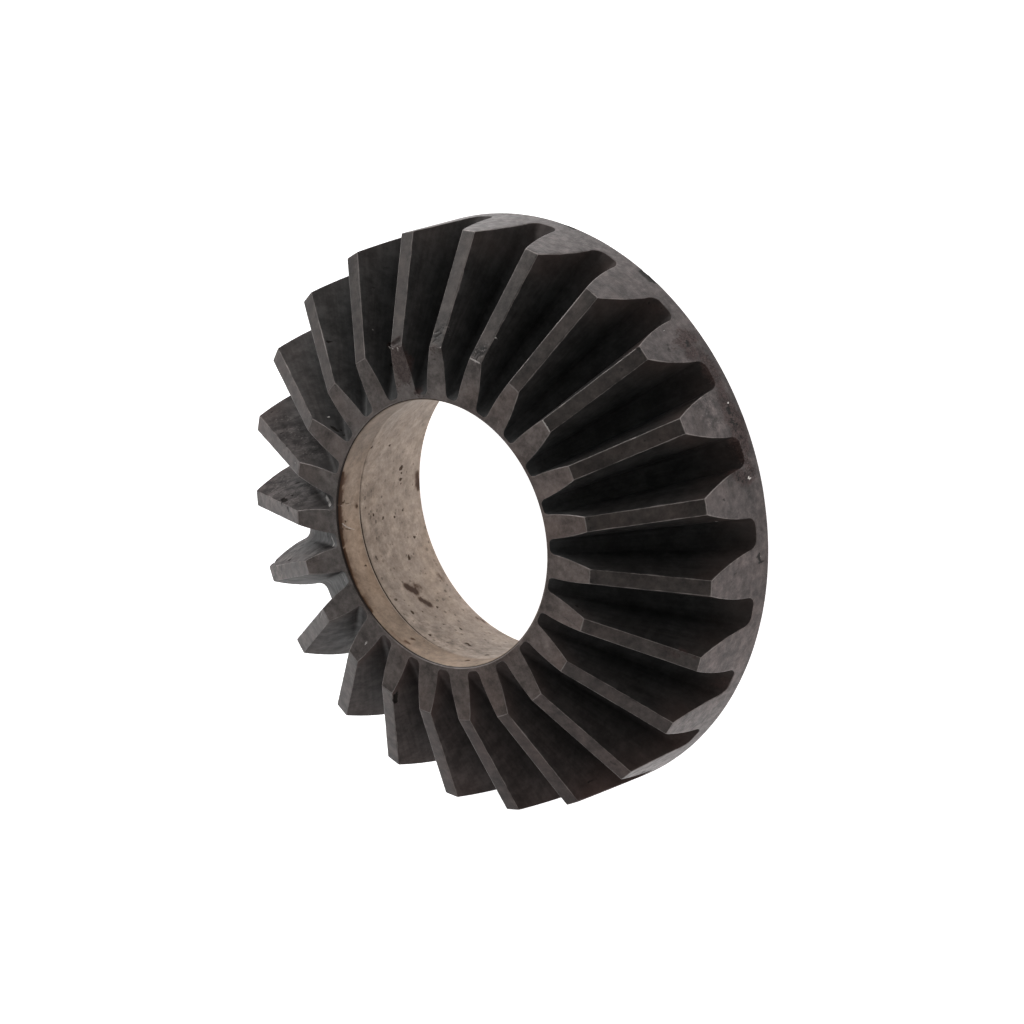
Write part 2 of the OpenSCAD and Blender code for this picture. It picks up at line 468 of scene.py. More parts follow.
# (points in the picture, radius in mm, depth in mm, {attribute: strength}); two points and more make a streak
MARKS = [
    # tooth ends towards the bore and their lands
    ([(390.5, 345.5), (394, 344), (398, 341)], 0.52, 0.24, {"rust": 1.5, "dirt": 0.46}),
    ([(390, 347.6), (393, 348.6)], 0.14, 0, {"bare": 0.7}),
    ([(418.5, 391.5)], 0.9, 0, {"rust": 0.8}),
    ([(431, 350.5), (439.5, 351.5)], 0.7, 0, {"rust": 0.6}),
    ([(431.5, 359), (438, 359.4)], 0.18, 0, {"dirt": 0.4}),
    ([(429.5, 346.6), (440.5, 347.4)], 0.14, 0, {"bare": 0.5}),
    ([(470.5, 358.6), (479.5, 363.2)], 0.14, 0, {"bare": 0.9}),
    ([(389.6, 346.6)], 0.2, 0, {"bare": 0.9}),
    ([(397.5, 348.2)], 0.2, 0, {"bare": 0.5}),
    ([(397, 353), (404, 374)], 1.5, 0, {"rust": 1.5}),
    ([(391.5, 365)], 0.25, 0.06, {"dirt": 0.8}),
    ([(397, 388)], 1.0, 0, {"rust": 0.45}),
    ([(433, 340), (441, 330)], 1.2, 0, {"pit": 1.0}),
    ([(434.5, 332.5), (439, 331)], 0.17, 0.05, {"dirt": 0.5}),
    ([(435, 337.5), (441.5, 333.5)], 0.15, 0.05, {"dirt": 0.55, "rust": 0.3}),
    ([(432, 336), (434.5, 335.4)], 0.15, 0, {"bare": 0.2}),
    ([(432.5, 342.2), (436, 340)], 0.15, 0.04, {"dirt": 0.45}),
    ([(438.5, 341.5)], 0.16, 0.04, {"dirt": 0.4}),
    ([(475, 355), (482, 350)], 1.1, 0, {"pit": 1.0}),
    ([(474.5, 356.5), (479, 352)], 0.15, 0.05, {"dirt": 0.5}),
    ([(476, 360), (478, 356.4), (483.5, 354)], 0.15, 0.04, {"dirt": 0.5}),
    ([(476.5, 350.5), (478, 348.5)], 0.15, 0.04, {"dirt": 0.45}),
    ([(483, 346.5)], 0.17, 0.04, {"dirt": 0.35}),
    ([(496, 338)], 0.22, 0.05, {"bare": 0.6}),
    ([(525, 365)], 0.25, 0.04, {"dirt": 0.5}),
    ([(534, 372)], 0.25, 0.04, {"dirt": 0.4}),
    ([(542.8, 420.6), (549.2, 431.2)], 0.14, 0, {"bare": 0.6}),
    ([(622, 453)], 0.2, 0.03, {"dirt": 0.4}),
    ([(621.5, 369.8)], 0.35, 0, {"dirt": 0.5}),
    ([(638.6, 349.3)], 0.42, 0.08, {"dirt": 0.75, "rust": 0.3}),
    ([(660, 440)], 0.26, 0.05, {"dirt": 0.6}),
    ([(645, 440.8)], 0.2, 0.04, {"dirt": 0.5}),
    ([(678, 439)], 0.18, 0.03, {"dirt": 0.45}),
    ([(680, 649.8), (687, 652.6)], 0.28, 0, {"bare": 0.2, "rust": 0.7}),
    ([(660, 648), (676, 655)], 0.8, 0, {"rust": 0.5}),
    ([(694, 657)], 0.6, 0, {"rust": 0.4}),
    # flanks on the left
    ([(282.7, 499), (285.5, 501)], 0.46, 0.2, {"dirt": 1.0}),
    ([(281.5, 503)], 0.25, 0.06, {"dirt": 0.7}),
    ([(292.3, 495.5)], 0.32, 0.1, {"dirt": 0.9}),
    ([(288, 508.5)], 0.32, 0.1, {"dirt": 0.9}),
    ([(270, 478), (290, 490), (302, 500)], 3.2, 0, {"pit": 0.85}),
    ([(282, 420), (300, 440), (312, 452)], 2.6, 0, {"pit": 0.55}),
    ([(300, 545), (285, 560), (276, 572)], 2.4, 0, {"pit": 0.9}),
    ([(328, 538), (318, 552)], 2.0, 0, {"pit": 0.7}),
    ([(295.3, 462.8), (293.9, 476)], 0.11, 0, {"bare": 0.55}),
    ([(296.8, 463), (295.4, 476)], 0.11, 0.02, {"dirt": 0.35}),
    ([(297.5, 482.5)], 0.22, 0.08, {"dirt": 0.7}),
    ([(286, 487)], 0.18, 0.05, {"dirt": 0.5}),
    ([(300, 491)], 0.18, 0.05, {"dirt": 0.4}),
    ([(266.5, 479.5), (270, 477)], 0.3, 0.06, {"rust": 0.9, "dirt": 0.3}),
    ([(277, 474.5)], 0.25, 0.05, {"dirt": 0.5}),
    ([(271.5, 412.3)], 0.25, 0.07, {"dirt": 0.7}),
    ([(281, 433.5)], 0.24, 0.06, {"dirt": 0.6}),
    ([(286.5, 446)], 0.28, 0.06, {"dirt": 0.5}),
    ([(289, 452)], 0.2, 0.04, {"dirt": 0.4}),
    ([(273.7, 561.4)], 0.6, 0.3, {"dirt": 1.0}),
    ([(269, 479)], 0.4, 0.1, {"rust": 1.0, "dirt": 0.3}),
    ([(289.7, 559.7)], 0.42, 0.14, {"dirt": 1.0}),
    ([(302.7, 545)], 0.26, 0.08, {"dirt": 0.7}),
    ([(303.5, 540.5)], 0.2, 0.06, {"dirt": 0.6}),
    ([(311, 541)], 0.24, 0.07, {"dirt": 0.6}),
    ([(316, 542.5)], 0.22, 0.06, {"dirt": 0.6}),
    ([(320, 546)], 0.24, 0.06, {"dirt": 0.5}),
    ([(308, 549)], 0.2, 0.05, {"dirt": 0.4}),
    ([(296, 552)], 0.2, 0.05, {"dirt": 0.4}),
    ([(284, 582), (312, 584)], 0.3, 0, {"dirt": 0.5, "rust": 0.3}),
    ([(332, 427), (338, 431)], 0.3, 0.08, {"dirt": 0.7}),
    ([(341, 430)], 0.28, 0.08, {"dirt": 0.7}),
    ([(344, 435)], 0.25, 0.06, {"dirt": 0.6}),
    ([(328.7, 416.7)], 0.2, 0, {"bare": 1.0}),
    ([(328.3, 341.7)], 0.32, 0.06, {"dirt": 0.7, "rust": 0.3}),
    ([(332.5, 288.3)], 0.28, 0.05, {"dirt": 0.6}),
    ([(345, 327.5)], 0.2, 0.04, {"dirt": 0.5}),
    ([(385, 267.5)], 0.6, 0, {"dirt": 0.35}),
    ([(374, 287.8)], 0.28, 0.04, {"dirt": 0.4}),
    ([(372.5, 329.2)], 0.22, 0, {"bare": 0.4}),
    ([(493.8, 271.2)], 0.25, 0, {"bare": 0.25}),
    ([(314, 614), (320, 618)], 0.2, 0.04, {"bare": 0.4, "dirt": 0.3}),
    ([(395, 695.5), (395.6, 702)], 0.42, 0.2, {"dirt": 1.0}),
    ([(365.8, 643.8)], 0.26, 0, {"bare": 1.0}),
    ([(360, 648)], 0.15, 0.04, {"dirt": 0.6}),
    ([(643.5, 771.7)], 0.35, 0.18, {"dirt": 1.0}),
    ([(611, 762), (617, 765)], 0.3, 0, {"dirt": 0.4}),
    ([(589, 782)], 0.25, 0.05, {"dirt": 0.6}),
    ([(550, 786)], 0.2, 0.04, {"dirt": 0.5}),
    ([(326.5, 496), (329, 500), (330.5, 505)], 0.4, 0, {"bare": 0.42}),
    ([(331.5, 537), (333.5, 541), (333.8, 545)], 0.42, 0, {"bare": 0.45}),
    ([(342.5, 575), (344.5, 580)], 0.36, 0, {"bare": 0.42}),
    # inside the tooth spaces on the right
    ([(577, 606)], 0.22, 0.05, {"dirt": 0.8}),
    ([(582.5, 611)], 0.2, 0.04, {"dirt": 0.7}),
    ([(589, 519)], 0.2, 0.03, {"dirt": 0.6}),
    ([(590.5, 528)], 0.2, 0.03, {"dirt": 0.6}),
    ([(714.6, 527)], 0.25, 0, {"rust": 0.8}),
    ([(722, 683)], 1.3, 0, {"rust": 0.6}),
    ([(655, 305), (664, 312)], 0.9, 0, {"rust": 0.35}),
    ([(661, 308.5)], 0.3, 0.05, {"dirt": 0.5}),
    ([(649, 303)], 0.25, 0.05, {"dirt": 0.5}),
    # outer rim and heel faces
    ([(643, 271.5), (654.5, 280.5)], 0.42, 0.12, {"dirt": 0.85}),
    ([(562, 223.6), (575, 227.6)], 0.25, 0.06, {"dirt": 0.6}),
    ([(640.8, 299)], 0.22, 0.06, {"bare": 0.3}),
    ([(644, 299.5)], 0.3, 0, {"rust": 0.6}),
    ([(682, 333), (693, 338)], 1.3, 0, {"rust": 0.95, "pit": 0.6}),
    ([(687, 343), (690, 354)], 1.3, 0, {"rust": 1.1, "pit": 0.5}),
    ([(698, 348)], 1.2, 0, {"rust": 0.7}),
    ([(674, 349), (676, 340)], 0.4, 0, {"rust": 0.7}),
    ([(676, 346)], 0.8, 0, {"rust": 0.4}),
    ([(687.5, 341), (687.8, 346)], 0.3, 0.08, {"dirt": 0.8}),
    ([(690, 350)], 0.3, 0.08, {"dirt": 0.75}),
    ([(685, 337)], 0.24, 0.05, {"dirt": 0.55}),
    ([(693, 340)], 0.24, 0.05, {"dirt": 0.5}),
    ([(697, 352), (705, 357), (713, 370), (719, 385), (724, 400)], 1.3, 0, {"rust": 0.85, "pit": 0.4}),
    ([(724, 400), (732, 416), (739, 430), (744, 447)], 1.9, 0, {"rust": 1.1, "pit": 0.5}),
    ([(727.8, 408), (729.5, 413)], 0.28, 0.12, {"dirt": 0.9}),
    ([(732.5, 411.5), (733.5, 415)], 0.2, 0.08, {"dirt": 0.7}),
    ([(731.5, 419), (733.5, 424)], 0.24, 0.1, {"dirt": 0.85}),
    ([(737, 424)], 0.28, 0.1, {"dirt": 0.9}),
    ([(735.5, 431)], 0.22, 0.08, {"dirt": 0.7}),
    ([(741, 437)], 0.28, 0.08, {"dirt": 0.7}),
    ([(742, 429)], 0.22, 0.06, {"dirt": 0.6}),
    ([(727.7, 402.6)], 0.2, 0, {"bare": 1.0}),
    ([(744, 455), (751, 471)], 1.2, 0, {"rust": 0.8, "pit": 0.8}),
    ([(737, 474), (746, 480)], 1.3, 0, {"rust": 1.1, "pit": 0.5}),
    ([(738.5, 479)], 0.3, 0.08, {"dirt": 0.85}),
    ([(742.5, 481.5)], 0.26, 0.08, {"dirt": 0.75}),
    ([(745, 473)], 0.26, 0.08, {"dirt": 0.7}),
    ([(750, 470)], 0.22, 0.06, {"dirt": 0.6}),
    ([(748.8, 477.7)], 0.24, 0, {"bare": 1.0}),
    ([(664.3, 331.5)], 0.22, 0, {"bare": 1.0}),
    ([(759.4, 553.4), (759.2, 559), (761, 562)], 0.25, 0.1, {"dirt": 0.85}),
    ([(761, 556.6)], 0.18, 0, {"bare": 0.55}),
    ([(716.5, 521.5)], 0.26, 0, {"bare": 1.0}),
    ([(724, 499.6)], 0.35, 0.05, {"dirt": 0.45}),
    ([(726.7, 492)], 0.3, 0.04, {"dirt": 0.35}),
    ([(735.4, 573.7)], 0.3, 0.05, {"dirt": 0.5}),
    ([(730.8, 582)], 0.25, 0.04, {"dirt": 0.4}),
    ([(739, 563.5)], 0.25, 0.04, {"dirt": 0.4}),
    ([(699.3, 405)], 0.6, 0, {"dirt": 0.4}),
    ([(710.5, 415)], 0.8, 0, {"dirt": 0.4}),
    ([(699, 420)], 0.55, 0, {"dirt": 0.4}),
    ([(697, 398), (712, 420)], 2.2, 0, {"pit": 0.7}),
    ([(667, 345), (670, 352)], 0.35, 0, {"dirt": 0.45}),
    ([(626, 276), (634, 283)], 0.5, 0, {"dirt": 0.3}),
    # bore: pits
    ([(401.2, 468)], 0.5, 0.18, {"dirt": 1.0}),
    ([(401.5, 473)], 0.25, 0.06, {"dirt": 0.5, "oil": 0.5}),
    ([(400.6, 479.4)], 0.36, 0.12, {"dirt": 0.85}),
    ([(401, 483.5)], 0.22, 0.06, {"dirt": 0.6}),
    ([(371.8, 447.6)], 0.34, 0.1, {"dirt": 0.7}),
    ([(390, 445.4)], 0.28, 0.08, {"dirt": 0.65}),
    ([(379, 443)], 0.18, 0.05, {"dirt": 0.5}),
    ([(403, 510)], 0.3, 0.08, {"dirt": 0.6}),
    ([(383.2, 517.9)], 0.3, 0.09, {"dirt": 0.7}),
    ([(394.6, 517)], 0.26, 0.08, {"dirt": 0.65}),
    ([(373.6, 515.1)], 0.3, 0.08, {"dirt": 0.65}),
    ([(369, 514)], 0.22, 0.06, {"dirt": 0.5}),
    ([(414.4, 537.1)], 0.32, 0.08, {"dirt": 0.65}),
    ([(408, 537.5)], 0.22, 0.05, {"dirt": 0.45}),
    ([(387.8, 533.8)], 0.3, 0.04, {"dirt": 0.35}),
    ([(409.2, 557.7)], 0.42, 0.1, {"dirt": 0.75, "oil": 0.5}),
    ([(376.5, 558)], 0.4, 0.04, {"dirt": 0.4}),
    ([(393, 556)], 0.2, 0.05, {"dirt": 0.45}),
    ([(365.8, 565.5)], 0.26, 0.06, {"dirt": 0.6}),
    ([(396, 599.5)], 0.34, 0.05, {"dirt": 0.5}),
    ([(412.5, 612.3)], 0.4, 0.1, {"dirt": 0.8}),
    ([(422.6, 611.4)], 0.24, 0.06, {"dirt": 0.55}),
    ([(437.3, 607.2)], 0.3, 0.07, {"dirt": 0.6}),
    ([(413.5, 621)], 0.2, 0.05, {"dirt": 0.5}),
    ([(430, 634.9)], 0.36, 0.1, {"dirt": 0.8}),
    ([(460.8, 628.8)], 0.32, 0.08, {"dirt": 0.7}),
    ([(443.7, 624.2)], 0.22, 0.05, {"dirt": 0.5}),
    ([(424, 641)], 0.2, 0.05, {"dirt": 0.5}),
    ([(467.2, 643.2), (470, 645.5)], 0.3, 0.1, {"dirt": 0.9}),
    ([(487.3, 654.9)], 0.46, 0.16, {"dirt": 1.0}),
    ([(467.5, 660.4)], 0.46, 0.16, {"dirt": 1.0}),
    ([(477, 663.5)], 0.24, 0.06, {"dirt": 0.5}),
    ([(500.5, 646.8)], 0.26, 0.07, {"dirt": 0.6}),
    ([(485.5, 639.8)], 0.24, 0.06, {"dirt": 0.55}),
    ([(478, 662)], 0.2, 0.05, {"dirt": 0.4}),
    ([(412.5, 638.9)], 0.4, 0.05, {"oil": 0.9, "dirt": 0.3}),
    ([(405.5, 641), (409, 644)], 0.4, 0, {"oil": 0.8}),
    ([(357.1, 506.3)], 0.34, 0.06, {"dirt": 0.5, "oil": 0.7}),
    ([(345.6, 521.5)], 0.24, 0.05, {"dirt": 0.6}),
    ([(338.6, 505), (341, 503), (344, 502), (344.6, 500.4)], 0.13, 0.03, {"dirt": 0.9}),
    ([(345.5, 503.8), (348.6, 503.2)], 0.12, 0.02, {"dirt": 0.5}),
    ([(342, 499.5), (342.8, 497)], 0.12, 0, {"bare": 0.3}),
    ([(346, 500), (349, 498)], 0.12, 0, {"bare": 0.25}),
    ([(341, 505.6), (344.5, 506.4), (351, 504)], 0.11, 0, {"bare": 0.35}),
    ([(344.4, 508), (344.6, 515)], 0.1, 0, {"dirt": 0.4}),
    ([(340.6, 527.4), (343.4, 529.4)], 0.16, 0, {"dirt": 0.55}),
    ([(342.6, 523.6), (346, 526.6), (350, 528.2), (354.5, 529.6)], 0.12, 0, {"bare": 0.5}),
    ([(346, 528.6), (350.5, 529.8)], 0.11, 0.02, {"dirt": 0.6}),
    ([(346, 531.8), (349, 531.4)], 0.1, 0, {"bare": 0.2}),
    ([(345.5, 535.2), (351, 534.6)], 0.1, 0, {"bare": 0.25}),
    ([(346, 538.6), (352, 537.8)], 0.1, 0, {"bare": 0.2}),
    ([(346.5, 542), (352, 541.2)], 0.1, 0, {"bare": 0.2}),
    ([(368, 480), (372, 520), (385, 555)], 3.2, 0, {"pit": 0.2}),
    ([(398, 515), (408, 545)], 3.0, 0, {"pit": 0.15}),
    ([(420, 625), (455, 645), (490, 652)], 3.0, 0, {"pit": 0.35}),
    # bore: stains
    ([(407.5, 587), (411, 589), (415.5, 592)], 0.74, 0, {"oil": 1.1}),
    ([(415.5, 585), (420.5, 587.5)], 0.6, 0, {"oil": 0.7}),
    ([(421, 599.5), (424.5, 601.8), (429.5, 604)], 0.64, 0, {"oil": 1.0}),
    ([(417.2, 474), (418.4, 488)], 0.8, 0, {"oil": 0.8}),
    ([(438.5, 574.5), (443, 580)], 0.55, 0, {"oil": 0.6}),
    ([(477, 618), (486, 622.5)], 0.35, 0, {"oil": 0.8}),
    ([(342.4, 474), (340.8, 488), (339.8, 502)], 0.56, 0, {"oil": 1.0}),
    ([(339.6, 508), (340, 520), (341, 532), (342.6, 544)], 0.5, 0, {"oil": 1.0}),
    ([(344, 550), (350.5, 575), (359.5, 596), (370.5, 612)], 0.5, 0, {"oil": 1.0}),
    ([(344, 476), (343, 540), (353, 578), (366, 604)], 1.5, 0, {"oil": 0.42}),
    ([(356.5, 506)], 0.6, 0, {"oil": 0.6}),
    ([(392, 632), (404, 643)], 0.4, 0, {"oil": 0.5}),
]

placed = []
for pts, r, depth, tint in MARKS:
    hits = [seen_at(*p) for p in pts]
    nor = unit(np.mean([h[1] for h in hits], 0))
    placed.append((np.array([h[0] for h in hits]), nor, r, depth, tint))


def far_from(points, line):
    """Distance of points from a chain of straight pieces."""
    if len(line) == 1:
        return np.linalg.norm(points - line[0], axis=1)
    best = np.full(len(points), 1e9)
    for a, b in zip(line[:-1], line[1:]):
        ab = b - a
        f = np.clip((points - a) @ ab / max(ab @ ab, 1e-9), 0, 1)
        best = np.minimum(best, np.linalg.norm(points - a - f[:, None] * ab, axis=1))
    return best


def split(marked):
    """Splits each marked face into quads round its middle; the faces beside them take in the new edge points."""
    global verts, faces, zones
    marked = set(marked)
    mid, new = {}, []
    for i in marked:
        f = faces[i]
        for a, b in zip(f, f[1:] + f[:1]):
            key = (min(a, b), max(a, b))
            if key not in mid:
                mid[key] = len(verts) + len(new)
                new.append((a, b))
    touched = {a for key in mid for a in key}
    out, oz, centre = [], [], []
    base = len(verts) + len(new)
    for i, f in enumerate(faces):
        if i in marked:
            e = [mid[(min(a, b), max(a, b))] for a, b in zip(f, f[1:] + f[:1])]
            c_ = base + len(centre)
            centre.append(f)
            n_ = len(f)
            for k in range(n_):
                out.append([f[k], e[k], c_, e[k - 1]])
                oz.append(zones[i])
        elif sum(a in touched for a in f) > 1:
            g = []
            for a, b in zip(f, f[1:] + f[:1]):
                g.append(a)
                key = (min(a, b), max(a, b))
                if key in mid:
                    g.append(mid[key])
            out.append(g)
            oz.append(zones[i])
        else:
            out.append(f)
            oz.append(zones[i])
    pair = np.array(new)
    add = [(verts[pair[:, 0]] + verts[pair[:, 1]]) / 2, np.array([verts[f].mean(0) for f in centre])]
    for name in attrs:
        val = attrs[name]
        attrs[name] = np.concatenate([val, (val[pair[:, 0]] + val[pair[:, 1]]) / 2, [val[f].mean() for f in centre]])
    verts = np.concatenate([verts] + add)
    faces, zones = out, oz


for level in range(2):
    mids = np.array([verts[f].mean(0) for f in faces])
    pick = np.zeros(len(faces), bool)
    for line, nor, r, depth, tint in placed:
        if depth == 0 and (r > 0.45 or not ({"dirt", "bare"} & set(tint))):
            continue
        reach = max(r * 1.5, 0.46) if level == 0 else r * 1.2 + 0.04
        near = np.linalg.norm(mids - line.mean(0), axis=1) < reach + np.linalg.norm(line - line.mean(0), axis=1).max()
        idx = np.nonzero(near)[0]
        pick[idx[far_from(mids[idx], line) < reach]] = True
    split(np.nonzero(pick)[0].tolist())

wobble = np.random.default_rng(77)
for line, nor, r, depth, tint in placed:
    reach = r * 2.0
    near = np.linalg.norm(verts - line.mean(0), axis=1) < reach + np.linalg.norm(line - line.mean(0), axis=1).max() + 0.2
    idx = np.nonzero(near)[0]
    p = verts[idx]
    d = far_from(p, line)
    side = p - line.mean(0)
    turn = np.arctan2(side @ unit(np.cross(nor, [0.3, 0.5, 0.81])), side @ unit(np.cross(nor, np.cross(nor, [0.3, 0.5, 0.81]))))
    a1, a2, a3 = wobble.uniform(0, 6.28, 3)
    d = d * (1 + 0.16 * np.sin(2 * turn + a1) + 0.1 * np.sin(3 * turn + a2) + 0.07 * np.sin(5 * turn + a3))
    f = np.clip((1.25 * r - d) / (0.65 * r), 0, 1)
    f = f * f * (3 - 2 * f)
    soft = np.clip((1.75 * r - d) / (1.6 * r), 0, 1)
    soft = soft * soft * (3 - 2 * soft)
    for name, strength in tint.items():
        attrs[name][idx] = np.maximum(attrs[name][idx], strength * (soft if name in ("rust", "oil", "pit") else f))
    if depth:
        g = np.clip(1 - (d / (1.1 * r)) ** 2, 0, 1)
        verts[idx] = p - nor * (depth * g)[:, None]

mesh = bpy.data.meshes.new("pinion_gear_finish")
mesh.from_pydata((verts * 0.001).tolist(), [], faces)
mesh.update()
for name, val in attrs.items():
    layer = mesh.attributes.new(name, "FLOAT", "POINT")
    layer.data.foreach_set("value", val.astype(np.float32))
gear = bpy.data.objects.new("pinion_gear_finish", mesh)
bpy.context.scene.collection.objects.link(gear)


def area_normals(me):
    """Vertex normals weighted by face area, so that flat faces stay flat up to their rounded edges."""
    nv, nl, nf = len(me.vertices), len(me.loops), len(me.polygons)
    lv = np.empty(nl, np.int32)
    me.loops.foreach_get("vertex_index", lv)
    tot = np.empty(nf, np.int32)
    me.polygons.foreach_get("loop_total", tot)
    nor = np.empty(nf * 3)
    me.polygons.foreach_get("normal", nor)
    area = np.empty(nf)
    me.polygons.foreach_get("area", area)
    nor = nor.reshape(-1, 3) * area[:, None]
    acc = np.zeros((nv, 3))
    fi = np.repeat(np.arange(nf), tot)
    for c in range(3):
        acc[:, c] = np.bincount(lv, weights=nor[fi, c], minlength=nv)
    return unit(acc)


mesh.polygons.foreach_set("use_smooth", np.ones(len(mesh.polygons), bool))
mesh.polygons.foreach_set("material_index", np.array(zones, np.int32))
mesh.normals_split_custom_set_from_vertices(area_normals(mesh).tolist())


# ---------------------------------------------------------------- materials
class Shade:
    """Adds nodes to one material and joins them."""

    def __init__(self, name):
        self.mat = bpy.data.materials.new(name)
        self.mat.use_nodes = True
        self.nt = self.mat.node_tree
        self.out = self.nt.nodes["Principled BSDF"]
        tc = self.nt.nodes.new("ShaderNodeTexCoord")
        self.pos = tc.outputs["Object"]
        self.xyz = self.nt.nodes.new("ShaderNodeSeparateXYZ")
        self.nt.links.new(self.pos, self.xyz.inputs[0])

    def put(self, socket, value):
        if isinstance(value, bpy.types.NodeSocket):
            self.nt.links.new(value, socket)
        elif isinstance(value, tuple) and len(value) == 3 and socket.type == "RGBA":
            socket.default_value = value + (1.0,)
        else:
            socket.default_value = value

    def attr(self, name):
        n = self.nt.nodes.new("ShaderNodeAttribute")
        n.attribute_name = name
        return n.outputs["Fac"]

    def math(self, op, a, b=0.0, clamp=False):
        n = self.nt.nodes.new("ShaderNodeMath")
        n.operation = op
        n.use_clamp = clamp
        self.put(n.inputs[0], a)
        self.put(n.inputs[1], b)
        return n.outputs[0]

    def add(self, a, b):
        return self.math("ADD", a, b)

    def mul(self, a, b):
        return self.math("MULTIPLY", a, b)

    def step(self, x, lo, hi, a=0.0, b=1.0):
        n = self.nt.nodes.new("ShaderNodeMapRange")
        n.interpolation_type = "SMOOTHSTEP"
        for i, val in enumerate((x, lo, hi, a, b)):
            self.put(n.inputs[i], val)
        return n.outputs[0]

    def vec(self, op, a, b=(0.0, 0.0, 0.0)):
        n = self.nt.nodes.new("ShaderNodeVectorMath")
        n.operation = op
        self.put(n.inputs[0], a)
        if op == "SCALE":
            self.put(n.inputs[3], b)
        elif op not in ("NORMALIZE", "LENGTH"):
            self.put(n.inputs[1], b)
        return n.outputs["Value"] if op == "LENGTH" else n.outputs[0]

    def noise(self, vec, scale, detail=3.0, rough=0.5, shift=0.0):
        n = self.nt.nodes.new("ShaderNodeTexNoise")
        n.noise_dimensions = "3D"
        if shift:
            vec = self.vec("ADD", vec, (shift, shift * 0.7, -shift * 0.4))
        self.put(n.inputs["Vector"], vec)
        n.inputs["Scale"].default_value = scale
        n.inputs["Detail"].default_value = detail
        n.inputs["Roughness"].default_value = rough
        return n.outputs[0]

    def tone(self, color, noise, amount):
        """Makes a colour lighter and darker by a noise."""
        n = self.nt.nodes.new("ShaderNodeMapRange")
        n.clamp = False
        for i, val in enumerate((noise, 0.3, 0.7, 1 - amount, 1 + amount)):
            self.put(n.inputs[i], val)
        return self.vec("SCALE", color, n.outputs[0])

    def mottle(self, color, vec, amount, scale=130):
        """Tone at many sizes at once, from broad blotches to fine grain."""
        return self.tone(color, self.noise(vec, scale, 5.0, 0.82, 0.37), amount)

    def cells(self, vec, scale):
        n = self.nt.nodes.new("ShaderNodeTexVoronoi")
        self.put(n.inputs["Vector"], vec)
        n.inputs["Scale"].default_value = scale
        n.inputs["Randomness"].default_value = 1.0
        return n.outputs["Distance"], n.outputs["Color"]

    def mix(self, f, a, b, blend="MIX"):
        n = self.nt.nodes.new("ShaderNodeMix")
        n.data_type = "RGBA"
        n.blend_type = blend
        self.put(n.inputs[0], f)
        self.put(n.inputs[6], a)
        self.put(n.inputs[7], b)
        return n.outputs[2]

    def blend(self, f, a, b):
        n = self.nt.nodes.new("ShaderNodeMix")
        n.data_type = "FLOAT"
        self.put(n.inputs[0], f)
        self.put(n.inputs[2], a)
        self.put(n.inputs[3], b)
        return n.outputs[0]

    def bump(self, height, strength, distance, before=None):
        n = self.nt.nodes.new("ShaderNodeBump")
        n.inputs["Strength"].default_value = strength
        n.inputs["Distance"].default_value = distance
        self.put(n.inputs["Height"], height)
        if before is not None:
            self.put(n.inputs["Normal"], before)
        return n.outputs[0]

    def finish(self, color, rough, metal, normal, specular):
        self.put(self.out.inputs["Base Color"], color)
        self.put(self.out.inputs["Roughness"], rough)
        self.put(self.out.inputs["Metallic"], metal)
        self.put(self.out.inputs["Normal"], normal)
        self.out.inputs["Specular IOR Level"].default_value = specular
        return self.mat


EDGE_LIGHT = (0.235, 0.208, 0.198)
RUST_FILM = (0.047, 0.0308, 0.0280)
RUST_DARK = (0.021, 0.0135, 0.0125)
DIRT = (0.010, 0.0085, 0.0075)
BARE = (0.62, 0.58, 0.55)


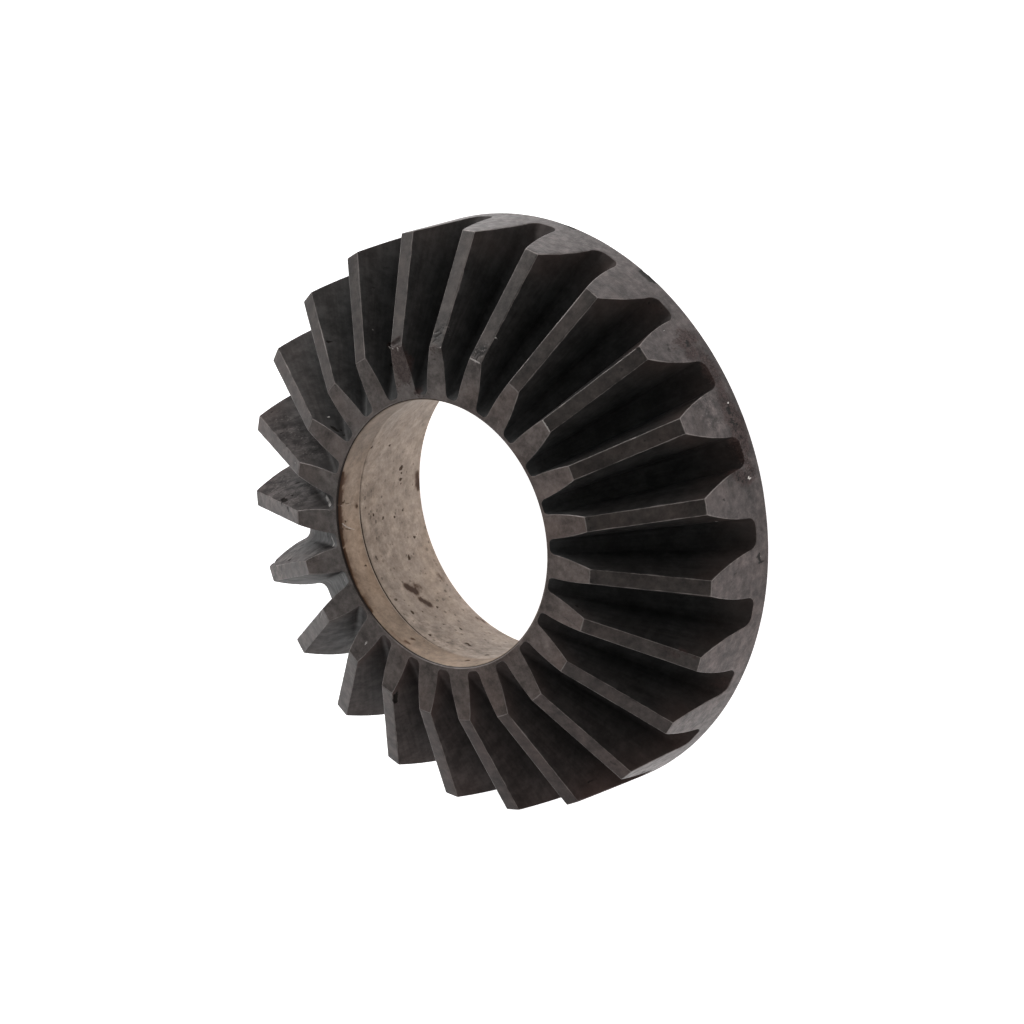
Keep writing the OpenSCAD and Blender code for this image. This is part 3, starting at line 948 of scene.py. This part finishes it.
def marks_over(sh, color, rough, metal, mid, fine, dirt_color=DIRT, rust_film=RUST_FILM, rust_dark=RUST_DARK):
    """Rust, pits, dirt and bare spots over a finish, broken up by its noises."""
    both = sh.math("SUBTRACT", sh.add(sh.mul(fine, 0.4), sh.mul(mid, 0.6)), 0.5)
    vein = sh.noise(sh.pos, 900, 2, 0.6, 8.0)
    vein = sh.step(sh.math("ABSOLUTE", sh.math("SUBTRACT", vein, 0.5)), 0.005, 0.06, 1.0, 0.0)
    rust = sh.step(sh.add(sh.attr("rust"), sh.mul(both, 2.2)), 0.15, 0.85)
    rust = sh.mul(rust, sh.step(sh.attr("rust"), 0.02, 0.3))
    color = sh.mix(sh.mul(rust, 0.78), color, rust_film)
    spots = sh.math("MAXIMUM", vein, sh.step(fine, 0.53, 0.64))
    color = sh.mix(sh.mul(sh.mul(rust, spots), 0.6), color, rust_dark)
    # rough pitted places: dark veins and small holes, with light flecks between them
    pit = sh.attr("pit")
    dist, hue = sh.cells(sh.vec("ADD", sh.pos, (0.13, 0.37, 0.21)), 1250)
    pick = sh.nt.nodes.new("ShaderNodeSeparateColor")
    sh.put(pick.inputs[0], hue)
    size = sh.mul(sh.mul(sh.step(pick.outputs[0], 0.35, 1.0), pit), 0.42)
    holes = sh.step(sh.math("SUBTRACT", size, dist), 0.0, 0.09)
    flecks = sh.mul(sh.mul(sh.step(fine, 0.54, 0.66), sh.step(pick.outputs[1], 0.5, 0.8)), pit)
    color = sh.tone(color, sh.add(0.5, sh.mul(sh.mul(sh.math("SUBTRACT", mid, 0.5), pit), 2.0)), 0.42)
    color = sh.mix(sh.mul(flecks, 0.35), color, EDGE_LIGHT)
    color = sh.mix(sh.mul(sh.mul(vein, pit), 0.3), color, dirt_color)
    color = sh.mix(sh.mul(holes, 0.7), color, dirt_color)
    dirt = sh.step(sh.add(sh.attr("dirt"), sh.mul(both, 0.9)), 0.16, 0.62)
    color = sh.mix(sh.mul(dirt, 0.93), color, dirt_color)
    bare = sh.step(sh.add(sh.attr("bare"), sh.mul(both, 0.8)), 0.22, 0.8)
    color = sh.mix(bare, color, BARE)
    rough = sh.blend(sh.math("MAXIMUM", rust, dirt), rough, 0.75)
    metal = sh.blend(bare, metal, 0.75)
    metal = sh.mul(metal, sh.math("SUBTRACT", 1.0, sh.math("MAXIMUM", sh.mul(rust, 0.8), dirt)))
    return color, rough, metal, sh.add(sh.mul(rust, spots), holes), dirt


def edge_wear_and_highlight_over(sh, color, rough, metal, mid, slow, lo=0.5, hi=1.0, amount=0.8, left=0.5):
    """Light lines along the edges, from worn bare metal and painted highlight; the painted highlight is weaker on the
    -x side of the gear.
    """
    w = sh.add(sh.attr("wear"), sh.add(sh.mul(sh.math("SUBTRACT", mid, 0.5), 1.1), sh.mul(sh.math("SUBTRACT", slow, 0.5), 0.9)))
    w = sh.mul(sh.step(w, lo, hi), sh.step(sh.attr("wear"), 0.3, 0.85))
    # painted highlight: the edge lines fainter towards -x, by the factor left
    w = sh.mul(w, sh.step(sh.xyz.outputs[0], -0.016, 0.004, amount * left, amount))
    return sh.mix(w, color, EDGE_LIGHT), sh.blend(w, rough, 0.38), sh.blend(w, metal, 0.4)


def steel_toe():
    """Turned face at the small ends of the teeth."""
    sh = Shade("toe_face_steel")
    slow = sh.noise(sh.pos, 110, 2, 0.5)
    mid = sh.noise(sh.pos, 620, 3, 0.65, 2.0)
    fine = sh.noise(sh.pos, 3200, 1, 0.5, 4.0)
    color = sh.mix(sh.step(mid, 0.32, 0.7), (0.0815, 0.0695, 0.065), (0.120, 0.103, 0.097))
    color = sh.mix(sh.step(slow, 0.42, 0.68), color, (0.104, 0.084, 0.077))
    color = sh.mottle(color, sh.pos, 0.58, 190)
    # painted light: the face lighter towards +x and +y
    color = sh.vec("SCALE", color, sh.add(1.045, sh.add(sh.mul(sh.xyz.outputs[0], 4.5), sh.mul(sh.xyz.outputs[1], 3.5))))
    facing = sh.step(sh.math("SUBTRACT", sh.xyz.outputs[0], sh.xyz.outputs[1]), -0.03, 0.03)
    color = sh.vec("MULTIPLY", color, sh.mix(facing, (0.97, 1.0, 1.01), (1.035, 0.995, 0.98)))
    rough = sh.step(mid, 0.3, 0.7, 0.5, 0.42)
    color, rough, metal = edge_wear_and_highlight_over(sh, color, rough, 0.12, mid, slow, amount=0.95, left=1.0)
    color, rough, metal, rust, dirt = marks_over(sh, color, rough, metal, mid, fine)
    radius = sh.vec("LENGTH", sh.vec("MULTIPLY", sh.pos, (1.0, 1.0, 0.0)))
    n = sh.nt.nodes.new("ShaderNodeCombineXYZ")
    sh.put(n.inputs[0], sh.mul(radius, 5200.0))
    ring = sh.noise(n.outputs[0], 1.0, 1, 0.5)
    h = sh.add(sh.mul(ring, 0.5), sh.add(sh.mul(fine, 0.6), sh.add(sh.mul(mid, 1.1), sh.mul(rust, -0.8))))
    return sh.finish(color, rough, metal, sh.bump(h, 0.5, 0.00006), 0.26)


def steel_flank():
    """Cut flanks and roots of the teeth, with marks that run along the teeth."""
    sh = Shade("flank_steel")
    ray = sh.vec("NORMALIZE", sh.vec("SUBTRACT", sh.pos, (0.0, 0.0, 0.0433)))
    along = sh.vec("ADD", ray, sh.vec("SCALE", sh.pos, 1.6))
    streak = sh.noise(along, 70, 2, 0.6)
    hair = sh.noise(along, 290, 1, 0.5, 1.7)
    mid = sh.noise(sh.pos, 430, 3, 0.65, 2.0)
    slow = sh.noise(sh.pos, 120, 2, 0.5, 6.0)
    fine = sh.noise(sh.pos, 3000, 1, 0.5, 4.0)
    deep, heel = sh.attr("deep"), sh.attr("heel")
    pale = sh.step(sh.add(sh.mul(streak, 0.35), sh.mul(mid, 0.65)), 0.36, 0.66)
    outer = sh.mix(pale, (0.0172, 0.0160, 0.0155), (0.0290, 0.0271, 0.0262))
    inner = sh.mix(pale, (0.0182, 0.0180, 0.0178), (0.0284, 0.0280, 0.0276))
    color = sh.mix(sh.step(deep, 0.18, 0.6), outer, inner)
    warm = sh.mul(sh.step(heel, 0.66, 1.0), sh.step(slow, 0.3, 0.7, 0.35, 1.0))
    warm = sh.mul(warm, sh.step(sh.xyz.outputs[0], -0.012, 0.02, 0.2, 1.0))
    color = sh.mix(sh.mul(warm, 0.7), color, (0.047, 0.0335, 0.0298))
    ends = sh.mul(sh.step(heel, 0.22, 0.02), sh.step(sh.xyz.outputs[1], -0.006, -0.02))
    color = sh.mix(sh.mul(ends, 0.42), color, (0.043, 0.0325, 0.0290))
    color = sh.mottle(color, sh.pos, 0.32)
    turned = sh.step(sh.add(sh.xyz.outputs[0], sh.xyz.outputs[1]), 0.015, -0.045)
    color = sh.vec("MULTIPLY", color, sh.mix(turned, (1.0, 1.0, 1.0), (1.15, 0.99, 0.97)))
    # painted light: the flanks lighter towards -x and darker towards +x
    color = sh.vec("SCALE", color, sh.step(sh.xyz.outputs[0], -0.03, 0.045, 1.56, 0.76))
    rough = sh.step(mid, 0.3, 0.7, 0.52, 0.42)
    color, rough, metal = edge_wear_and_highlight_over(sh, color, rough, 0.06, mid, slow, amount=0.55, left=0.7)
    color, rough, metal, rust, dirt = marks_over(sh, color, rough, metal, mid, fine)
    h = sh.add(sh.mul(hair, 0.4), sh.add(sh.mul(fine, 0.4), sh.add(sh.mul(mid, 0.8), sh.mul(rust, -1.0))))
    return sh.finish(color, rough, metal, sh.bump(h, 0.4, 0.00005), 0.02)


def steel_land():
    """Top lands of the teeth."""
    sh = Shade("land_steel")
    ray = sh.vec("NORMALIZE", sh.vec("SUBTRACT", sh.pos, (0.0, 0.0, 0.0433)))
    along = sh.vec("ADD", ray, sh.vec("SCALE", sh.pos, 1.6))
    hair = sh.noise(along, 290, 1, 0.5, 1.7)
    mid = sh.noise(sh.pos, 620, 3, 0.65, 2.0)
    slow = sh.noise(sh.pos, 120, 2, 0.5, 6.0)
    fine = sh.noise(sh.pos, 3200, 1, 0.5, 4.0)
    color = sh.mix(sh.step(mid, 0.32, 0.7), (0.0310, 0.0250, 0.0232), (0.0475, 0.0383, 0.0352))
    color = sh.mix(sh.mul(sh.step(slow, 0.46, 0.68), 0.5), color, (0.046, 0.0335, 0.030))
    color = sh.mottle(color, sh.pos, 0.6, 210)
    turned = sh.step(sh.add(sh.xyz.outputs[0], sh.xyz.outputs[1]), 0.03, -0.03)
    color = sh.vec("MULTIPLY", color, sh.mix(turned, (0.97, 1.01, 1.0), (1.13, 0.985, 0.96)))
    rough = sh.step(mid, 0.3, 0.7, 0.48, 0.4)
    color, rough, metal = edge_wear_and_highlight_over(sh, color, rough, 0.15, mid, slow, amount=0.6)
    color, rough, metal, rust, dirt = marks_over(sh, color, rough, metal, mid, fine)
    h = sh.add(sh.mul(hair, 0.4), sh.add(sh.mul(fine, 0.5), sh.add(sh.mul(mid, 1.0), sh.mul(rust, -0.8))))
    return sh.finish(color, rough, metal, sh.bump(h, 0.45, 0.00005), 0.24)


def steel_rim():
    """Turned rim and heel faces, mottled and lightly rusted."""
    sh = Shade("rim_steel")
    band = sh.vec("MULTIPLY", sh.pos, (0.8, 0.8, 1.0))
    mid = sh.noise(sh.pos, 700, 4, 0.7, 2.0)
    slow = sh.noise(band, 170, 3, 0.55, 6.0)
    fine = sh.noise(sh.pos, 3000, 1, 0.5, 4.0)
    line = sh.noise(sh.vec("MULTIPLY", sh.pos, (0.03, 0.03, 1.0)), 5200, 1, 0.5, 9.0)
    color = sh.mix(sh.step(mid, 0.34, 0.66), (0.0425, 0.0340, 0.0324), (0.0766, 0.0614, 0.0584))
    color = sh.mix(sh.mul(sh.step(slow, 0.5, 0.7), 0.5), color, (0.050, 0.0370, 0.0335))
    color = sh.mottle(color, sh.pos, 0.6, 260)
    color = sh.vec("MULTIPLY", color, sh.mix(sh.step(sh.xyz.outputs[1], 0.0, -0.025), (1.0, 1.0, 1.0), (1.03, 0.94, 0.92)))
    # painted shade: the rim darker towards large |y|, its top and bottom
    color = sh.vec("SCALE", color, sh.step(sh.math("ABSOLUTE", sh.xyz.outputs[1]), 0.02, 0.048, 1.0, 0.9))
    rough = sh.step(mid, 0.3, 0.7, 0.48, 0.34)
    color, rough, metal = edge_wear_and_highlight_over(sh, color, rough, 0.12, mid, slow, amount=0.7)
    color, rough, metal, rust, dirt = marks_over(sh, color, rough, metal, mid, fine, rust_film=(0.044, 0.0282, 0.0265))
    h = sh.add(sh.mul(line, 0.5), sh.add(sh.mul(fine, 0.5), sh.add(sh.mul(mid, 1.4), sh.mul(rust, -1.2))))
    return sh.finish(color, rough, metal, sh.bump(h, 0.55, 0.00007), 0.23)


def steel_back():
    """Turned back face."""
    sh = Shade("back_face_steel")
    mid = sh.noise(sh.pos, 420, 4, 0.62, 2.0)
    slow = sh.noise(sh.pos, 80, 2, 0.5, 6.0)
    fine = sh.noise(sh.pos, 2600, 1, 0.5, 4.0)
    radius = sh.vec("LENGTH", sh.vec("MULTIPLY", sh.pos, (1.0, 1.0, 0.0)))
    n = sh.nt.nodes.new("ShaderNodeCombineXYZ")
    sh.put(n.inputs[0], sh.mul(radius, 1900.0))
    sh.put(n.inputs[1], sh.mul(sh.xyz.outputs[0], 20.0))
    ring = sh.noise(n.outputs[0], 1.0, 2, 0.5)
    color = sh.mix(sh.step(mid, 0.3, 0.72), (0.0540, 0.0445, 0.0425), (0.0870, 0.0715, 0.0680))
    color = sh.mix(sh.mul(sh.step(ring, 0.35, 0.65), 0.45), color, (0.105, 0.088, 0.082))
    color = sh.mix(sh.mul(sh.step(slow, 0.48, 0.7), 0.55), color, (0.056, 0.0395, 0.0345))
    color = sh.mottle(color, sh.pos, 0.34, 220)
    rough = sh.step(mid, 0.3, 0.7, 0.46, 0.36)
    color, rough, metal = edge_wear_and_highlight_over(sh, color, rough, 0.15, mid, slow)
    color, rough, metal, rust, dirt = marks_over(sh, color, rough, metal, mid, fine)
    h = sh.add(sh.mul(ring, 1.3), sh.add(sh.mul(fine, 0.4), sh.add(sh.mul(mid, 0.7), sh.mul(rust, -1.0))))
    return sh.finish(color, rough, metal, sh.bump(h, 0.5, 0.00006), 0.26)


def steel_bore():
    """Ground bore: tan seat at the front, paler tapered wall behind it, pits, oil stains, a dark edge of painted shadow
    with a painted highlight at the front and at the end of the seat, and painted light across the wall.
    """
    sh = Shade("bore_steel")
    x, y, z = sh.xyz.outputs
    mid = sh.noise(sh.pos, 560, 3, 0.65, 2.0)
    slow = sh.noise(sh.pos, 95, 2, 0.5, 6.0)
    fine = sh.noise(sh.pos, 2800, 1, 0.5, 4.0)
    line = sh.noise(sh.vec("MULTIPLY", sh.pos, (0.03, 0.03, 1.0)), 6500, 1, 0.5, 9.0)
    wall = sh.mix(sh.step(mid, 0.3, 0.72), (0.288, 0.234, 0.194), (0.354, 0.291, 0.245))
    wall = sh.mix(sh.mul(sh.step(slow, 0.45, 0.7), 0.5), wall, (0.304, 0.236, 0.184))
    seat = sh.mix(sh.step(mid, 0.3, 0.72), (0.259, 0.193, 0.144), (0.318, 0.240, 0.181))
    seat = sh.mix(sh.mul(sh.step(slow, 0.45, 0.7), 0.6), seat, (0.250, 0.174, 0.120))
    seat = sh.mix(sh.mul(sh.step(y, -0.002, 0.014), 0.7), seat, sh.vec("SCALE", wall, 0.9))
    # painted light: the seat lighter towards -x
    seat = sh.vec("SCALE", seat, sh.step(x, -0.0155, -0.0222, 0.80, 1.14))
    color = sh.mix(sh.step(z, 0.01868, 0.01876), wall, seat)
    low_left = sh.mul(sh.step(x, -0.009, -0.016), sh.step(y, 0.008, 0.002))
    front = sh.mul(sh.step(z, 0.0213, 0.0238), sh.step(mid, 0.25, 0.75, 0.3, 1.0))
    front = sh.mul(front, sh.step(x, -0.006, -0.017, 0.35, 1.0))
    color = sh.mix(sh.mul(front, 0.45), color, (0.124, 0.082, 0.055))
    # small pits
    dist, hue = sh.cells(sh.vec("ADD", sh.pos, (0.31, 0.17, 0.05)), 1080)
    pick = sh.nt.nodes.new("ShaderNodeSeparateColor")
    sh.put(pick.inputs[0], hue)
    size = sh.mul(sh.step(pick.outputs[0], 0.22, 1.0), sh.step(slow, 0.35, 0.6, 0.26, 0.46))
    dots = sh.step(sh.math("SUBTRACT", size, dist), 0.0, 0.07)
    dots = sh.mul(dots, sh.step(pick.outputs[1], 0.2, 0.9, 0.3, 1.0))
    dots = sh.mul(dots, sh.mul(sh.step(z, 0.0186, 0.0188, 1.0, 0.35), sh.step(y, 0.004, 0.016, 1.0, 0.4)))
    color = sh.mix(sh.mul(dots, 0.62), color, (0.078, 0.056, 0.042))
    color = sh.mottle(color, sh.pos, 0.34, 420)
    # painted light: the bore lighter towards -x and -y
    color = sh.vec("SCALE", color, sh.add(0.9, sh.add(sh.mul(x, -13.0), sh.mul(y, -4.0))))
    # relief line at the end of the seat: a painted shadow under the lip, strongest low on the left, and a painted
    # highlight line on its edge
    seat_lip_shadow = sh.mul(sh.step(z, 0.01830, 0.01842), sh.step(z, 0.01868, 0.01874, 1.0, 0.0))
    color = sh.mix(sh.mul(seat_lip_shadow, sh.step(low_left, 0.0, 1.0, 0.25, 0.95)), color, (0.032, 0.0215, 0.0155))
    seat_lip_highlight = sh.mul(sh.mul(sh.step(z, 0.01878, 0.01884), sh.step(z, 0.01892, 0.01900, 1.0, 0.0)), low_left)
    color = sh.mix(sh.mul(seat_lip_highlight, 0.5), color, (0.42, 0.37, 0.32))
    oil = sh.step(sh.add(sh.attr("oil"), sh.mul(sh.math("SUBTRACT", mid, 0.5), 0.8)), 0.1, 0.8)
    color = sh.mix(sh.mul(oil, 0.88), color, (0.098, 0.049, 0.026))
    core = sh.step(sh.add(sh.attr("oil"), sh.mul(sh.math("SUBTRACT", mid, 0.5), 0.7)), 0.45, 0.9)
    color = sh.mix(sh.mul(core, 0.85), color, (0.043, 0.0182, 0.0085))
    # front edge: a thin painted shadow line on the chamfer, wider on the left, and outside it the finish of the toe
    # face lightened into a painted highlight edge
    left = sh.step(x, -0.0165, -0.0205)
    edge = sh.step(z, 0.02394, 0.02399)
    face = sh.mul(sh.step(z, 0.02409, 0.02414), sh.step(left, 0.0, 1.0, 1.0, 0.12))
    rim = sh.mix(sh.step(mid, 0.35, 0.65), (0.100, 0.084, 0.079), (0.172, 0.147, 0.139))
    color = sh.mix(edge, color, sh.mix(face, (0.016, 0.0105, 0.0085), rim))
    rough = sh.step(mid, 0.3, 0.7, 0.54, 0.46)
    color, rough, metal, rust, dirt = marks_over(sh, color, rough, 0.06, mid, fine, (0.066, 0.042, 0.029), (0.126, 0.085, 0.061), (0.057, 0.036, 0.026))
    h = sh.add(sh.mul(line, 0.5), sh.add(sh.mul(fine, 0.5), sh.add(sh.mul(mid, 0.6), sh.mul(sh.add(dots, rust), -1.4))))
    return sh.finish(color, rough, metal, sh.bump(h, 0.4, 0.00006), 0.12)


for build in (steel_toe, steel_flank, steel_rim, steel_back, steel_bore, steel_land):
    mesh.materials.append(build())

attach(gear, "root")
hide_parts("pinion_gear")

# ---------------------------------------------------------------- floor and light
N_RING = 96
# a hair below the gear, so that no two faces lie in one plane
LOW = -0.00004
cove = [(0.0, LOW), (0.2, LOW), (0.8, LOW), (1.6, LOW), (2.3, LOW), (2.5, 0.03), (2.7, 0.11), (2.85, 0.24), (2.95, 0.42), (3.0, 0.75)]
fv_, ff_ = [(0.0, 0.0, LOW)], []
for r_, z_ in cove[1:]:
    fv_ += [(r_ * math.cos(2 * math.pi * k / N_RING), r_ * math.sin(2 * math.pi * k / N_RING), z_) for k in range(N_RING)]
for k in range(N_RING):
    ff_.append((0, 1 + k, 1 + (k + 1) % N_RING))
    for i in range(len(cove) - 2):
        a, b = 1 + i * N_RING, 1 + (i + 1) * N_RING
        ff_.append((a + k, b + k, b + (k + 1) % N_RING, a + (k + 1) % N_RING))
fm = bpy.data.meshes.new("floor")
fm.from_pydata(fv_, [], ff_)
fm.polygons.foreach_set("use_smooth", np.ones(len(fm.polygons), bool))
floor = bpy.data.objects.new("floor", fm)
bpy.context.scene.collection.objects.link(floor)
fmat = bpy.data.materials.new("floor")
fmat.use_nodes = True
fb = fmat.node_tree.nodes["Principled BSDF"]
fb.inputs["Base Color"].default_value = (0.85, 0.85, 0.85, 1)
fb.inputs["Roughness"].default_value = 0.9
fb.inputs["Specular IOR Level"].default_value = 0.0
fb.inputs["Emission Color"].default_value = (1, 1, 1, 1)
fb.inputs["Emission Strength"].default_value = 0.95
fm.materials.append(fmat)

# round soft boxes at 1.5 m: elevation, azimuth, watts
LIGHTS = [(14, 120, 19.4), (14, 300, 2.6), (42, 40, 1.0), (42, 80, 2.05), (42, 120, 3.4), (42, 240, 3.7),
          (42, 280, 2.25), (42, 320, 1.7)]
for n_, (el, az, watts) in enumerate(LIGHTS):
    e, a_ = math.radians(el), math.radians(az)
    d = Vector((math.cos(e) * math.cos(a_), math.cos(e) * math.sin(a_), math.sin(e)))
    ld = bpy.data.lights.new("soft_box_%d" % n_, "AREA")
    ld.shape = "DISK"
    ld.size = 0.72
    ld.energy = watts
    lo = bpy.data.objects.new("soft_box_%d" % n_, ld)
    lo.location = Vector((0, 0, 0.01)) + d * 1.5
    lo.rotation_euler = (-d).to_track_quat("-Z", "Y").to_euler()
    lo.visible_camera = False
    bpy.context.scene.collection.objects.link(lo)

world = bpy.data.worlds.new("world")
world.use_nodes = True
world.node_tree.nodes["Background"].inputs["Color"].default_value = (1, 1, 1, 1)
world.node_tree.nodes["Background"].inputs["Strength"].default_value = 0.0
bpy.context.scene.world = world
bpy.context.scene.view_settings.view_transform = "Standard"
